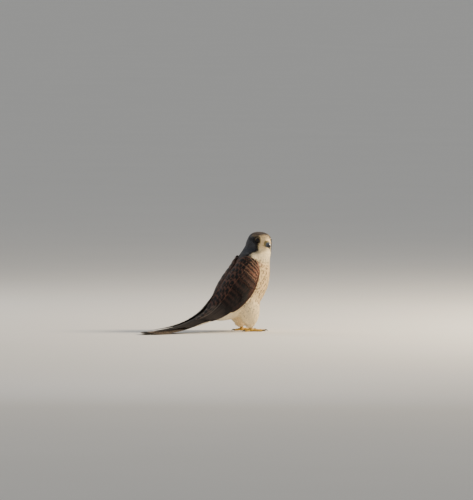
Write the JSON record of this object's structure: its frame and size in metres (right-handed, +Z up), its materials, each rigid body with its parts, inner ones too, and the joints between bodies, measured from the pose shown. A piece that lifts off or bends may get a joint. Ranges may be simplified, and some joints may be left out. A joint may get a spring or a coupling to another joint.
{
  "type": "common kestrel",
  "caption": "Small falcon standing on both feet with folded barred wings, long tail laid back and head turned over its right shoulder.",
  "frame": {"origin": "under the middle of the bird's bounding box, on the floor it stands on", "axes": "+X the way the breast faces, +Y the bird's left, +Z up"},
  "size_m": [0.2691, 0.085, 0.1778],
  "materials": {
    "feather_back": "matte barred chestnut plumage",
    "feather_head": "matte grey and buff plumage",
    "feather_body": "matte streaked cream plumage",
    "feather_flight": "matte dark brown flight feathers",
    "feather_tail": "matte barred tail feathers",
    "yellow_skin": "waxy bare skin",
    "bill_horn": "smooth horn, dark at the tip",
    "claw_horn": "polished black horn",
    "eye_gloss": "wet near-black brown"
  },
  "bodies": {
    "root": {"bill_lower": "bill_horn", "bill_upper": "bill_horn", "cere": "yellow_skin", "claw_hind_left": "claw_horn", "claw_hind_right": "claw_horn", "claw_inner_left": "claw_horn", "claw_inner_right": "claw_horn", "claw_middle_left": "claw_horn", "claw_middle_right": "claw_horn", "claw_outer_left": "claw_horn", "claw_outer_right": "claw_horn", "eye_left": "eye_gloss", "eye_right": "eye_gloss", "eyelid_left": "yellow_skin", "eyelid_right": "yellow_skin", "foot_left": "yellow_skin", "foot_right": "yellow_skin", "head": "feather_head", "neck": "feather_back", "tail": "feather_tail", "tarsus_left": "yellow_skin", "tarsus_right": "yellow_skin", "torso": "feather_body", "trouser_left": "feather_body", "trouser_right": "feather_body", "wing_left": "feather_flight", "wing_right": "feather_flight"}
  },
  "joints": []
}
